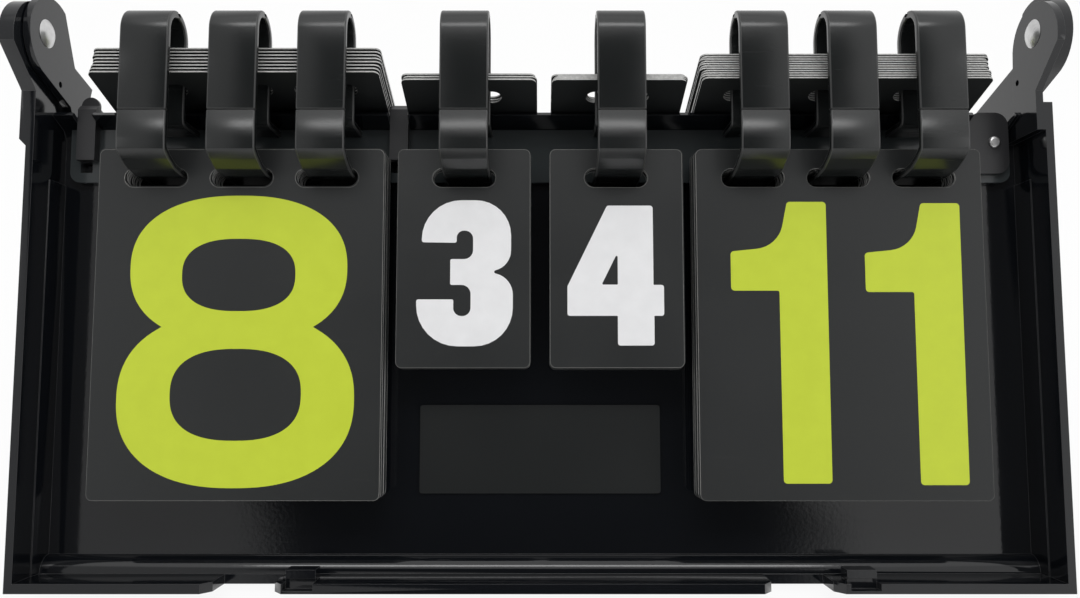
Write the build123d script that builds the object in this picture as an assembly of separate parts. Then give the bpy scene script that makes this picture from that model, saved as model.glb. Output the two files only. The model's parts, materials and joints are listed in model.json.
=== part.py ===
"""Tabletop flip scoreboard: two hinged trays that stand as an A-frame, with number cards on eight rings.

Both halves of the case share their walls, ears and notches, and the front one also has a curled
shoulder over the rail. A half is drawn hanging straight down from the hinge axis and is described by
three lengths: x across the width, "out" away from the back panel towards the open side (0 at the
rim), and "down" from the hinge axis towards the bottom wall.
The finished frame has +Z up, X across the width and the front half leaning towards -Y.
"""
import math
import os

from build123d import *

# ---------------------------------------------------------------- driving dimensions, millimetres
STANCE_ANGLE = 74.0            # degrees between the two halves when the backs touch

# Case half
CASE_HALF_WIDTH = 188.0        # middle of the case to the outer face of a side wall
CASE_LENGTH = 202.0            # hinge axis to the outer face of the bottom wall
CASE_DEPTH = 25.0              # rim to the outer face of the back panel
PANEL_THICKNESS = 2.2
SIDE_WALL = 2.9
BOTTOM_WALL = 3.5
FOOT_RADIUS = 3.0              # outer corner that the case stands on
INNER_CORNER_RADIUS = 6.0      # between the panel and the bottom wall
BACK_GAP = 0.3                 # extra drop of the shoulder, so that the backs only just meet
SHOULDER_RISE = 7.7            # height of the curled shoulder above the panel
LIP_DEPTH = 13.0               # how far behind the rim the shoulder ends
SHOULDER_THICKNESS = 2.0
SHOULDER_BEND_DOWN = 4.1       # the kink of the shoulder, below its meeting with the panel
SHOULDER_BEND_IN = 3.2
WALL_LEDGE = 0.4               # the lower part of a side wall is thicker by this much
WALL_LEDGE_DEPTH = 11.5
LEDGE_TOP = 52.0

# Ears and hinge
EAR_RADIUS = 15.25
EAR_CENTRE_OUT = 0.5
EAR_CENTRE_DOWN = 4.25
EAR_NOSE_DOWN = 8.0            # where the sloping edge leaves the round nose
EAR_FOOT_DOWN = 20.5           # where the sloping edge meets the rim
OUTER_EAR_THICKNESS = 5.4
OUTER_EAR_LENGTH = 42.0
INNER_EAR_THICKNESS = 2.7
INNER_EAR_LENGTH = 36.0
EAR_GAP = 0.4                  # between the inner and the outer ear
EAR_SWING_RADIUS = 25.7        # the side wall is cut back this far around the hinge
PIN_RADIUS = 2.6
RUNNING_FIT = 0.08
RIVET_HEAD_RADIUS = 5.15
RIVET_HEAD_HEIGHT = 1.9
RIVET_TAIL_RADIUS = 4.0
RIVET_TAIL_HEIGHT = 1.2
TAIL_POCKET_DEPTH = 1.6
EAR_BACK_OUT = -16.0           # lower end of the ear's back edge
EAR_BACK_DOWN = 24.0
EAR_HOLE_RADIUS = 1.1
EAR_HOLE_OUT = -12.2
EAR_HOLE_DOWN = 14.6

# Bottom wall details
NOTCH_DEPTH = 16.0
NOTCH_WIDTH = 22.0
NOTCH_CENTRES = (-105.0, 93.0)
LATCH_WIDTH = 10.6
LATCH_CENTRES = (-85.0, 114.3)
LATCH_BLOCK_HEIGHT = 4.0
LATCH_BLOCK_DEPTH = 7.0
LATCH_POCKET_DEPTH = 4.5

# Rail that carries the rings
RAIL_END_GAP = 0.5             # inner ear to the end of the rail
RAIL_TOP = 30.8
RAIL_BOTTOM = 51.5
RAIL_PROUD = 3.3               # panel to the front face of the rail
RAIL_CORNER = 4.0
SEAT_GAP = 0.2
CLIP_WIDTH = 7.0
CLIP_END_INSET = 7.5           # end of the rail to the middle of the end clip
CLIP_BESIDE_SETS = 1.7         # outer edge of the left sets card to the middle of the other clip
CLIP_TOP = 21.8
CLIP_BOTTOM = 43.5
CLIP_PROUD = 4.0
CLIP_CORNER = 2.0
CLIP_HOLE_SIDE = 4.6
CLIP_HOLE_DROP = 1.9           # below the clip's lower end
END_PLATE_WIDTH = 15.5
END_PLATE_INSET = 8.7          # end of the rail to the middle of the plate
END_PLATE_TOP = 24.5
END_PLATE_BOTTOM = 48.4
END_PLATE_THICKNESS = 2.0
END_PLATE_CORNER = 5.0
RAIL_RIVET_SHIFT = 2.2         # from the middle of the end plate
RAIL_RIVET_DOWN = 36.2
RAIL_RIVET_RADIUS = 2.35
RAIL_RIVET_HEIGHT = 1.2
RAIL_RIVET_SHANK = 1.2

# Rings
RING_WIDTH = 17.3
STRAP = 2.6
RING_FRONT_OUT = 13.0          # front face of the front leg
RING_ARCH_RADIUS = 9.3
RING_ARCH_DOWN = 2.7
RING_SEAM_DOWN = 32.3
RING_SEAT_DOWN = 49.9          # upper face of the strap that the cards hang on
RING_BEND_DOWN = 46.4          # lower front corner
RING_TURN_OUT = -3.8           # the strap runs level behind this place
RING_FACET_BACK = 4.3          # from the front face to the end of the lowest front facet
RING_FACET_DROP = 2.8
RING_UNDER_BACK = 10.1         # from the front face to the start of the last slope
RING_UNDER_RISE = 0.9
RING_INNER_BACK = 5.5          # the same line on the inside of the strap
RING_INNER_DROP = 0.3
RING_INNER_FAR_BACK = 10.7
RING_INNER_FAR_RISE = 1.0
RING_INNER_BEND_RISE = 1.5
RING_FOOT_DOWN = 33.8
RING_TONGUE_LENGTH = 9.0
RING_TONGUE_THICKNESS = 1.8
RING_TONGUE_INSET = 2.4
RING_FLANGE = 2.0
RING_FLANGE_MARGIN = 2.0
RING_BEVEL = 0.45

# Cards
CARD_THICKNESS = 0.6
CARD_CORNER = 2.2
SLOT_WIDTH = 23.3
SLOT_HEIGHT = 7.0
SLOT_DROP = 10.7               # top edge of a card to the middle of its slots
HANG_GAP = 0.3                 # between the strap and the slot edge that rests on it
FRONT_CARD_OUT = -4.0          # printed face of the front cards
CARD_AIR = 0.05
POINTS_CARD_HEIGHT = 128.0
SETS_CARD_WIDTH = 48.8
SETS_CARD_HEIGHT = 80.6
CARD_MARGIN = 22.6             # side wall to the nearest card
CARD_GAP = 5.1                 # between a points card and a sets card
SETS_GAP = 7.2                 # between the two sets cards
RING_PITCH_SHARE = 0.3         # ring pitch as a share of the points card's width
RING_SHIFT = 1.0               # the rings stand this far right of the middle of the front cards' slots
REST_GAP = 0.3                 # between the lower ends of the flipped cards and the rear tray
# Flipped decks: shift to the right, air between their cards, and their near face at the slots
FLIPPED_POINTS_LEFT = (-0.25, 0.85, -18.9)
FLIPPED_SETS_LEFT = (2.1, 0.5, -20.8)
FLIPPED_SETS_RIGHT = (0.7, 0.05, -20.8)
FLIPPED_POINTS_RIGHT = (0.4, 0.4, -20.8)

# Label plate
LABEL_WIDTH = 91.0
LABEL_HEIGHT = 33.1
LABEL_TOP = 136.9
LABEL_THICKNESS = 0.8
LABEL_CORNER = 1.0

# ---------------------------------------------------------------- worked out from the sizes above
LEAN = STANCE_ANGLE / 2
COS_LEAN = math.cos(math.radians(LEAN))
SIN_LEAN = math.sin(math.radians(LEAN))
HINGE_HEIGHT = (CASE_LENGTH - FOOT_RADIUS) * COS_LEAN + (CASE_DEPTH - FOOT_RADIUS) * SIN_LEAN + FOOT_RADIUS

WALL_INSIDE = CASE_HALF_WIDTH - SIDE_WALL
FLOOR_OUT = PANEL_THICKNESS - CASE_DEPTH
FLOOR_END = CASE_LENGTH - BOTTOM_WALL
SHOULDER_DOWN = CASE_DEPTH / math.tan(math.radians(LEAN)) + BACK_GAP
LIP_DOWN = SHOULDER_DOWN - SHOULDER_RISE

OUTER_EAR_FACE = WALL_INSIDE + OUTER_EAR_THICKNESS
INNER_EAR_OUTSIDE = WALL_INSIDE - EAR_GAP
INNER_EAR_FACE = INNER_EAR_OUTSIDE - INNER_EAR_THICKNESS

# The points cards take the width that the margins, the gaps and the sets cards leave
SETS_EDGE = SETS_GAP / 2 + SETS_CARD_WIDTH
POINTS_CARD_WIDTH = WALL_INSIDE - CARD_MARGIN - CARD_GAP - SETS_EDGE
POINTS_CENTRE = WALL_INSIDE - CARD_MARGIN - POINTS_CARD_WIDTH / 2
SETS_CENTRE = SETS_EDGE - SETS_CARD_WIDTH / 2
RING_PITCH = POINTS_CARD_WIDTH * RING_PITCH_SHARE
POINTS_CARD = (POINTS_CARD_WIDTH, POINTS_CARD_HEIGHT)
SETS_CARD = (SETS_CARD_WIDTH, SETS_CARD_HEIGHT)

RAIL_HALF_LENGTH = INNER_EAR_FACE - RAIL_END_GAP
CLIP_CENTRES = (CLIP_END_INSET - RAIL_HALF_LENGTH, -SETS_EDGE - CLIP_BESIDE_SETS)
END_PLATE_CENTRE = RAIL_HALF_LENGTH - END_PLATE_INSET
RAIL_RIVET_X = END_PLATE_CENTRE + RAIL_RIVET_SHIFT
RAIL_FACE_OUT = FLOOR_OUT + RAIL_PROUD
CLIP_FACE_OUT = RAIL_FACE_OUT + CLIP_PROUD
END_PLATE_FACE_OUT = RAIL_FACE_OUT + END_PLATE_THICKNESS

ARCH_CENTRE_OUT = RING_FRONT_OUT - RING_ARCH_RADIUS
REAR_LEG_OUT = ARCH_CENTRE_OUT - RING_ARCH_RADIUS + STRAP / 2
FRONT_LEG_INSIDE = RING_FRONT_OUT - STRAP
SLOT_CENTRE_DOWN = RING_SEAT_DOWN - HANG_GAP + SLOT_HEIGHT / 2
CARD_TOP_DOWN = SLOT_CENTRE_DOWN - SLOT_DROP

POINTS_SLOTS = (-RING_PITCH, 0.0, RING_PITCH)
SETS_SLOTS = (0.0,)
SLOT_CENTRES = sorted(
    [side * (POINTS_CENTRE + offset) for side in (-1, 1) for offset in POINTS_SLOTS]
    + [-SETS_CENTRE, SETS_CENTRE]
)
RING_CENTRES = [centre + RING_SHIFT for centre in SLOT_CENTRES]

# name, centre, card size, slot places, how its flipped deck lies
STATIONS = (
    ("points_left", -POINTS_CENTRE, POINTS_CARD, POINTS_SLOTS, FLIPPED_POINTS_LEFT),
    ("sets_left", -SETS_CENTRE, SETS_CARD, SETS_SLOTS, FLIPPED_SETS_LEFT),
    ("sets_right", SETS_CENTRE, SETS_CARD, SETS_SLOTS, FLIPPED_SETS_RIGHT),
    ("points_right", POINTS_CENTRE, POINTS_CARD, POINTS_SLOTS, FLIPPED_POINTS_RIGHT),
)
BEHIND_COUNT = {"points_left": 21, "sets_left": 6, "sets_right": 5, "points_right": 18}
FLIPPED_COUNT = {"points_left": 8, "sets_left": 3, "sets_right": 4, "points_right": 11}


# ---------------------------------------------------------------- drawing helpers
def at(out, down):
    """Point of a side view, in the plane that the prisms grow from."""
    return (-out, -down)


def outline(*points):
    """Closed face through the given side-view points."""
    return make_face(Polyline(*[at(out, down) for out, down in points], close=True))


def strip(out_0, out_1, down_0, down_1):
    """Rectangle of a side view."""
    middle = at((out_0 + out_1) / 2, (down_0 + down_1) / 2)
    return Pos(*middle) * Rectangle(abs(out_1 - out_0), abs(down_1 - down_0))


def disc(radius, out, down):
    """Round face of a side view."""
    return Pos(*at(out, down)) * Circle(radius)


def prism(face, x_0, x_1):
    """Side view grown across the width from x_0 to x_1."""
    return extrude(Plane.YZ.offset(x_0) * face, amount=x_1 - x_0)


def block(x_0, x_1, out_0, out_1, down_0, down_1):
    """Box given by its three ranges."""
    return prism(strip(out_0, out_1, down_0, down_1), x_0, x_1)


def plate(face, back_out, thickness):
    """Front view (x across, -down up) grown outwards from back_out."""
    return extrude(Plane.XZ.offset(back_out) * face, amount=thickness)


def place_front(shape):
    """Hang the front half on the hinge axis and lean it forwards."""
    return Pos(0, 0, HINGE_HEIGHT) * Rot(-LEAN, 0, 0) * shape


def place_rear(shape):
    """Hang the rear half on the hinge axis, turned to face the other way."""
    return Pos(0, 0, HINGE_HEIGHT) * Rot(0, 0, 180) * Rot(-LEAN, 0, 0) * shape


# ---------------------------------------------------------------- case half
def shoulder_points():
    """Outer line of the curled shoulder, from its lip down to the panel."""
    return (
        (-LIP_DEPTH, LIP_DOWN),
        (SHOULDER_BEND_IN - CASE_DEPTH, SHOULDER_DOWN - SHOULDER_BEND_DOWN),
        (-CASE_DEPTH, SHOULDER_DOWN),
    )


def shell_section(curled):
    """Side view of the shoulder, if the half has one, the panel and the bottom wall in one."""
    lip, bend, foot = shoulder_points()
    over = [at(*lip), at(*bend)] if curled else []
    under = [
        at(FLOOR_OUT, SHOULDER_DOWN + SHOULDER_THICKNESS * 0.5),
        at(bend[0] + SHOULDER_THICKNESS * 0.7, bend[1] + SHOULDER_THICKNESS * 0.8),
        at(lip[0] + SHOULDER_THICKNESS * 0.7, lip[1] + SHOULDER_THICKNESS * 0.7),
        at(*lip),
    ]
    plain = [at(FLOOR_OUT, SHOULDER_DOWN), at(*foot)]
    edge = Polyline(*over, at(*foot), at(-CASE_DEPTH, CASE_LENGTH - FOOT_RADIUS))
    corner = RadiusArc(edge @ 1, at(FOOT_RADIUS - CASE_DEPTH, CASE_LENGTH), -FOOT_RADIUS)
    rim = Polyline(
        corner @ 1,
        at(0, CASE_LENGTH),
        at(0, FLOOR_END),
        at(FLOOR_OUT + INNER_CORNER_RADIUS, FLOOR_END),
    )
    inner_corner = RadiusArc(rim @ 1, at(FLOOR_OUT, FLOOR_END - INNER_CORNER_RADIUS), INNER_CORNER_RADIUS)
    back = Polyline(inner_corner @ 1, *(under if curled else plain))
    return make_face([edge, corner, rim, inner_corner, back])


def wall_section():
    """Side view of a side wall below the ears."""
    lip, bend, foot = shoulder_points()
    return outline(
        (0, EAR_FOOT_DOWN),
        (0, CASE_LENGTH),
        (FOOT_RADIUS - CASE_DEPTH, CASE_LENGTH),
        (-CASE_DEPTH + FOOT_RADIUS * 0.3, CASE_LENGTH - FOOT_RADIUS * 0.3),
        (-CASE_DEPTH, CASE_LENGTH - FOOT_RADIUS),
        foot,
        bend,
        (EAR_BACK_OUT, EAR_BACK_DOWN),
        (EAR_CENTRE_OUT - EAR_RADIUS, EAR_FOOT_DOWN),
    )


def ear_section(length):
    """Side view of an ear: round head, sloping front edge and a foot of the given length."""
    lip, bend, foot = shoulder_points()
    nose_drop = EAR_NOSE_DOWN - EAR_CENTRE_DOWN
    nose = at(EAR_CENTRE_OUT + math.sqrt(EAR_RADIUS**2 - nose_drop**2), EAR_NOSE_DOWN)
    crown = at(EAR_CENTRE_OUT, EAR_CENTRE_DOWN - EAR_RADIUS)
    tail = at(EAR_CENTRE_OUT - EAR_RADIUS, EAR_CENTRE_DOWN)
    head = ThreePointArc(nose, crown, tail)
    body = Polyline(
        tail,
        at(EAR_BACK_OUT, EAR_BACK_DOWN),
        at(*bend),
        at(*foot),
        at(-CASE_DEPTH, length),
        at(0, length),
        at(0, EAR_FOOT_DOWN + 1),
        at(1, EAR_FOOT_DOWN),
        nose,
    )
    return make_face([head, body])


def outer_ear():
    """Ear that stands proud of the left wall, with a sloped step where it ends."""
    ear = prism(ear_section(OUTER_EAR_LENGTH), -OUTER_EAR_FACE, -WALL_INSIDE)
    proud = OUTER_EAR_FACE - CASE_HALF_WIDTH
    step = Polyline(
        (-OUTER_EAR_FACE - 1, -(OUTER_EAR_LENGTH - proud - 1)),
        (-CASE_HALF_WIDTH, -OUTER_EAR_LENGTH),
        (-OUTER_EAR_FACE - 1, -OUTER_EAR_LENGTH),
        close=True,
    )
    ear -= plate(make_face(step), -CASE_DEPTH - 1, CASE_DEPTH + 2)
    ear -= prism(disc(PIN_RADIUS + RUNNING_FIT, 0, 0), -OUTER_EAR_FACE - 1, -WALL_INSIDE + 1)
    pocket_floor = TAIL_POCKET_DEPTH - OUTER_EAR_FACE
    ear -= prism(disc(RIVET_TAIL_RADIUS + EAR_GAP, 0, 0), -OUTER_EAR_FACE - 1, pocket_floor)
    return ear


def inner_ear():
    """Ear set inside the right wall; outside the swing of its partner it is joined to the wall."""
    section = ear_section(INNER_EAR_LENGTH)
    ear = prism(section, INNER_EAR_FACE, INNER_EAR_OUTSIDE)
    root = prism(section, INNER_EAR_OUTSIDE, WALL_INSIDE)
    root -= prism(disc(EAR_SWING_RADIUS, 0, 0), INNER_EAR_OUTSIDE - 1, WALL_INSIDE + 1)
    ear += root
    ear -= prism(disc(PIN_RADIUS + RUNNING_FIT, 0, 0), INNER_EAR_FACE - 1, WALL_INSIDE + 1)
    ear -= prism(disc(EAR_HOLE_RADIUS, EAR_HOLE_OUT, EAR_HOLE_DOWN), INNER_EAR_FACE - 1, WALL_INSIDE)
    return ear


def bottom_notch(centre):
    """Finger notch through the bottom wall, open at the rim."""
    half = NOTCH_WIDTH / 2
    slope = NOTCH_DEPTH / 4
    cut = Polyline(
        (centre - half - slope, 1),
        (centre - half, -slope),
        (centre - half, -NOTCH_DEPTH),
        (centre + half, -NOTCH_DEPTH),
        (centre + half, -slope),
        (centre + half + slope, 1),
        close=True,
    )
    return Pos(0, 0, -CASE_LENGTH - 1) * extrude(make_face(cut).mirror(Plane.XZ), amount=BOTTOM_WALL + 1.5)


def latch_block(centre):
    """Raised catch inside the bottom wall."""
    half = LATCH_WIDTH / 2
    top = FLOOR_END - LATCH_BLOCK_HEIGHT
    return block(centre - half, centre + half, -LATCH_BLOCK_DEPTH - 4, -4, top, FLOOR_END)


def latch_pocket(centre):
    """Pocket sunk into the rim beside a finger notch."""
    half = LATCH_WIDTH / 2
    return block(centre - half, centre + half, -LATCH_POCKET_DEPTH, 1, FLOOR_END - 1, CASE_LENGTH - 1)


def lip_gap(centre, width):
    """Notch in the shoulder lip that a clip or plate of the rail passes through."""
    half = width / 2 + SEAT_GAP
    return block(centre - half, centre + half, RAIL_FACE_OUT, 0, LIP_DOWN - 2, RAIL_TOP + SHOULDER_THICKNESS)


def case_half(curled):
    """One half of the case as it hangs from the hinge axis, with or without the curled shoulder."""
    half = prism(shell_section(curled), -CASE_HALF_WIDTH, CASE_HALF_WIDTH)
    left_wall = prism(wall_section(), -CASE_HALF_WIDTH, -WALL_INSIDE)
    right_wall = prism(wall_section(), WALL_INSIDE, CASE_HALF_WIDTH)
    right_wall -= prism(disc(EAR_SWING_RADIUS, 0, 0), WALL_INSIDE - 1, CASE_HALF_WIDTH + 1)
    half += left_wall
    half += right_wall
    half += outer_ear()
    half += inner_ear()
    for side in (-1, 1):
        inside = side * (WALL_INSIDE - WALL_LEDGE)
        near, far = sorted((inside, side * WALL_INSIDE))
        half += block(near, far, FLOOR_OUT, -WALL_LEDGE_DEPTH, LEDGE_TOP, FLOOR_END)
    for centre in LATCH_CENTRES:
        half += latch_block(centre)
        half -= latch_pocket(centre)
    for centre in NOTCH_CENTRES:
        half -= bottom_notch(centre)
    if curled:
        half -= [lip_gap(centre, CLIP_WIDTH) for centre in CLIP_CENTRES]
        half -= lip_gap(END_PLATE_CENTRE, END_PLATE_WIDTH)
    return half


# ---------------------------------------------------------------- hinge rivets
def hinge_rivet():
    """Rivet through both ears on the right: domed head inside, flat tail sunk in the outer ear."""
    head_face = INNER_EAR_FACE - RUNNING_FIT
    dome_radius = (RIVET_HEAD_RADIUS**2 + RIVET_HEAD_HEIGHT**2) / (2 * RIVET_HEAD_HEIGHT)
    dome = Pos(head_face - RIVET_HEAD_HEIGHT + dome_radius, 0, 0) * Sphere(dome_radius)
    keep = block(head_face - RIVET_HEAD_HEIGHT - 1, head_face, -9, 9, -9, 9)
    tail_seat = OUTER_EAR_FACE - TAIL_POCKET_DEPTH + RUNNING_FIT
    rivet = dome & keep
    rivet += prism(disc(PIN_RADIUS, 0, 0), head_face, tail_seat)
    rivet += prism(disc(RIVET_TAIL_RADIUS, 0, 0), tail_seat, tail_seat + RIVET_TAIL_HEIGHT)
    return rivet


# ---------------------------------------------------------------- rail, clips, end plate
def rail():
    """Flat rail on the panel, with a hole below each clip and one for the rail rivet."""
    slope = SHOULDER_DOWN + SHOULDER_THICKNESS * 0.5 + SEAT_GAP
    section = outline(
        (RAIL_FACE_OUT, RAIL_TOP),
        (RAIL_FACE_OUT, RAIL_BOTTOM),
        (FLOOR_OUT, RAIL_BOTTOM),
        (FLOOR_OUT, slope),
        (SHOULDER_BEND_IN - CASE_DEPTH + SHOULDER_THICKNESS * 0.7 + SEAT_GAP, RAIL_TOP + SEAT_GAP * 2),
    )
    body = prism(section, -RAIL_HALF_LENGTH, RAIL_HALF_LENGTH)
    bottom_corners = body.edges().filter_by(Axis.Y).group_by(Axis.Z)[0]
    body = fillet(bottom_corners, RAIL_CORNER)
    for centre in CLIP_CENTRES:
        middle = CLIP_BOTTOM + CLIP_HOLE_DROP
        half = CLIP_HOLE_SIDE / 2
        left = centre - CLIP_WIDTH / 2
        body -= block(left, left + CLIP_HOLE_SIDE, FLOOR_OUT - 1, 0, middle - half, middle + half)
    hole = Pos(RAIL_RIVET_X, -RAIL_RIVET_DOWN) * Circle(RAIL_RIVET_SHANK + RUNNING_FIT)
    body -= plate(hole, FLOOR_OUT - 1, -FLOOR_OUT)
    return body


def rail_clips():
    """Snap clips over the rail; the clip at the end has a round-topped tongue behind it."""
    clips = []
    for centre in CLIP_CENTRES:
        half = CLIP_WIDTH / 2
        clip = block(centre - half, centre + half, RAIL_FACE_OUT, CLIP_FACE_OUT, CLIP_TOP, CLIP_BOTTOM)
        top_edges = clip.edges().filter_by(Axis.X).group_by(Axis.Z)[-1]
        clips.append(chamfer(top_edges.sort_by(Axis.Y)[0], CLIP_CORNER))
    centre = CLIP_CENTRES[0]
    tongue = Pos(centre, -CLIP_TOP) * Circle(CLIP_WIDTH / 2)
    clips[0] += plate(tongue, RAIL_FACE_OUT, CLIP_PROUD / 3)
    return clips


def end_plate():
    """Cover over the right end of the rail, pierced for the rail rivet."""
    height = END_PLATE_BOTTOM - END_PLATE_TOP
    middle = (END_PLATE_BOTTOM + END_PLATE_TOP) / 2
    face = Pos(END_PLATE_CENTRE, -middle) * RectangleRounded(END_PLATE_WIDTH, height, END_PLATE_CORNER)
    face -= Pos(RAIL_RIVET_X, -RAIL_RIVET_DOWN) * Circle(RAIL_RIVET_SHANK + RUNNING_FIT)
    return plate(face, RAIL_FACE_OUT, END_PLATE_THICKNESS)


def rail_rivet():
    """Small domed rivet that holds the end plate and the rail on the panel."""
    place = Pos(RAIL_RIVET_X, -RAIL_RIVET_DOWN)
    shank = plate(place * Circle(RAIL_RIVET_SHANK), FLOOR_OUT, END_PLATE_FACE_OUT - FLOOR_OUT)
    head = plate(place * Circle(RAIL_RIVET_RADIUS), END_PLATE_FACE_OUT, RAIL_RIVET_HEIGHT)
    rim = head.edges().filter_by(GeomType.CIRCLE).sort_by(Axis.Y)[0]
    return shank + fillet(rim, RAIL_RIVET_HEIGHT * 0.8)


def label_plate():
    """Bare plate on the panel, below the sets cards."""
    face = Pos(0, -LABEL_TOP - LABEL_HEIGHT / 2) * RectangleRounded(LABEL_WIDTH, LABEL_HEIGHT, LABEL_CORNER)
    return plate(face, FLOOR_OUT, LABEL_THICKNESS)


# ---------------------------------------------------------------- rings
def bevelled(strap):
    """Break the long edges of a strap."""
    ends = strap.faces().filter_by(Axis.X).edges()
    return chamfer(ends, RING_BEVEL)


def ring_hook(centre):
    """Lower half of a ring: from the rail, level under the cards and up to the seam."""
    under = RING_SEAT_DOWN + STRAP
    section = outline(
        (RING_FRONT_OUT, RING_SEAM_DOWN),
        (RING_FRONT_OUT, RING_BEND_DOWN),
        (RING_FRONT_OUT - RING_FACET_BACK, RING_BEND_DOWN + RING_FACET_DROP),
        (RING_FRONT_OUT - RING_UNDER_BACK, under - RING_UNDER_RISE),
        (RING_TURN_OUT, under),
        (RAIL_FACE_OUT, under),
        (RAIL_FACE_OUT, RING_SEAT_DOWN),
        (RING_TURN_OUT, RING_SEAT_DOWN),
        (RING_FRONT_OUT - RING_INNER_FAR_BACK, RING_SEAT_DOWN - RING_INNER_FAR_RISE),
        (RING_FRONT_OUT - RING_INNER_BACK, RING_BEND_DOWN + RING_INNER_DROP),
        (FRONT_LEG_INSIDE, RING_BEND_DOWN - RING_INNER_BEND_RISE),
        (FRONT_LEG_INSIDE, RING_SEAM_DOWN),
    )
    half = RING_WIDTH / 2
    hook = bevelled(prism(section, centre - half, centre + half))
    tongue_half = half - RING_TONGUE_INSET
    hook += block(
        centre - tongue_half,
        centre + tongue_half,
        FRONT_LEG_INSIDE - RING_TONGUE_THICKNESS,
        FRONT_LEG_INSIDE,
        RING_SEAM_DOWN - RING_TONGUE_LENGTH,
        RING_BEND_DOWN - 1.0,
    )
    flange_bottom = min(under + RING_FLANGE_MARGIN, RAIL_BOTTOM)
    flange_top = RING_SEAT_DOWN - RING_FLANGE_MARGIN
    hook += block(centre - half, centre + half, RAIL_FACE_OUT, RAIL_FACE_OUT + RING_FLANGE, flange_top, flange_bottom)
    return hook


def ring_arch(centre):
    """Upper half of a ring: front leg, round top, rear leg and the foot that sits on the rail."""
    inside = RING_ARCH_RADIUS - STRAP
    arch = disc(RING_ARCH_RADIUS, ARCH_CENTRE_OUT, RING_ARCH_DOWN)
    arch -= disc(inside, ARCH_CENTRE_OUT, RING_ARCH_DOWN)
    arch -= strip(RING_FRONT_OUT + 1, -RING_ARCH_RADIUS, RING_ARCH_DOWN, RING_ARCH_DOWN + RING_ARCH_RADIUS + 1)
    arch += strip(FRONT_LEG_INSIDE, RING_FRONT_OUT, RING_ARCH_DOWN, RING_SEAM_DOWN)
    rear = REAR_LEG_OUT - STRAP / 2
    arch += strip(rear, rear + STRAP, RING_ARCH_DOWN, RING_FOOT_DOWN)
    arch += strip(RAIL_FACE_OUT, rear + STRAP, RING_FOOT_DOWN - STRAP, RING_FOOT_DOWN)
    half = RING_WIDTH / 2
    return bevelled(prism(arch, centre - half, centre + half))


# ---------------------------------------------------------------- cards
def card(size, slots, back_out):
    """One card with its slot line on the hinge height and its back face at back_out."""
    width, height = size
    face = Pos(0, SLOT_DROP - height / 2) * RectangleRounded(width, height, CARD_CORNER)
    for slot in slots:
        face -= Pos(slot, 0) * SlotOverall(SLOT_WIDTH, SLOT_HEIGHT)
    return plate(face, back_out, CARD_THICKNESS)


def front_top_card(centre, size, slots):
    """Card that shows its number at the front."""
    leaf = card(size, slots, FRONT_CARD_OUT - CARD_THICKNESS)
    return Pos(centre, 0, -SLOT_CENTRE_DOWN) * leaf


def front_deck(centre, size, slots, count):
    """Cards hanging behind the top card, face to face."""
    first = FRONT_CARD_OUT - CARD_THICKNESS - CARD_AIR
    place = Pos(centre, 0, -SLOT_CENTRE_DOWN)
    return [place * card(size, slots, first - (index + 1) * CARD_THICKNESS) for index in range(count)]


def flipped_pose(size, depth, near_out):
    """Tilt and slot place of a flipped deck: threaded on the rear legs, lower ends on the rear panel."""
    angle = math.radians(STANCE_ANGLE)
    tilt = math.asin((near_out - FLOOR_OUT - REST_GAP) / (size[1] - SLOT_DROP))
    slot_out = near_out + depth / 2 * math.cos(tilt)
    drop = -(slot_out + REAR_LEG_OUT * math.cos(angle)) / math.sin(angle)
    slot_down = drop * math.cos(angle) - REAR_LEG_OUT * math.sin(angle)
    return math.degrees(tilt), slot_down, slot_out


def flipped_deck(centre, size, slots, count, lie):
    """Cards already turned over the rings, resting in the rear tray."""
    shift, air, near_out = lie
    pitch = CARD_THICKNESS + air
    depth = pitch * count - air
    tilt, slot_down, slot_out = flipped_pose(size, depth, near_out)
    place = Pos(-centre - shift, -slot_out, -slot_down) * Rot(tilt, 0, 0)
    return [place * card(size, slots, index * pitch - depth / 2) for index in range(count)]


# ---------------------------------------------------------------- the whole scoreboard
def scoreboard():
    """Every node by name, as a list of placed solids."""
    rivet = hinge_rivet()
    nodes = {
        "case_front": [place_front(case_half(curled=True))],
        "case_rear": [place_rear(case_half(curled=False))],
        "hinge_rivets": [Pos(0, 0, HINGE_HEIGHT) * Rot(0, 0, turn) * rivet for turn in (0, 180)],
        "ring_rail": [place_front(rail())],
        "rail_clips": [place_front(clip) for clip in rail_clips()],
        "rail_end_plate": [place_front(end_plate())],
        "rail_rivet": [place_front(rail_rivet())],
        "label_plate": [place_front(label_plate())],
    }
    for number, centre in enumerate(RING_CENTRES, start=1):
        nodes[f"ring_hook_{number}"] = [place_front(ring_hook(centre))]
        nodes[f"ring_arch_{number}"] = [place_front(ring_arch(centre))]
    for name, centre, size, slots, lie in STATIONS:
        behind = front_deck(centre, size, slots, BEHIND_COUNT[name])
        flipped = flipped_deck(centre, size, slots, FLIPPED_COUNT[name], lie)
        nodes[f"card_top_{name}"] = [place_front(front_top_card(centre, size, slots))]
        nodes[f"deck_front_{name}"] = [place_front(leaf) for leaf in behind]
        nodes[f"deck_flipped_{name}"] = [place_rear(leaf) for leaf in flipped]
    return nodes


os.makedirs("parts", exist_ok=True)
for node, solids in scoreboard().items():
    shape = solids[0] if len(solids) == 1 else Compound(children=solids)
    export_step(shape, f"parts/{node}.step")
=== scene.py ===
import json
import math

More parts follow.
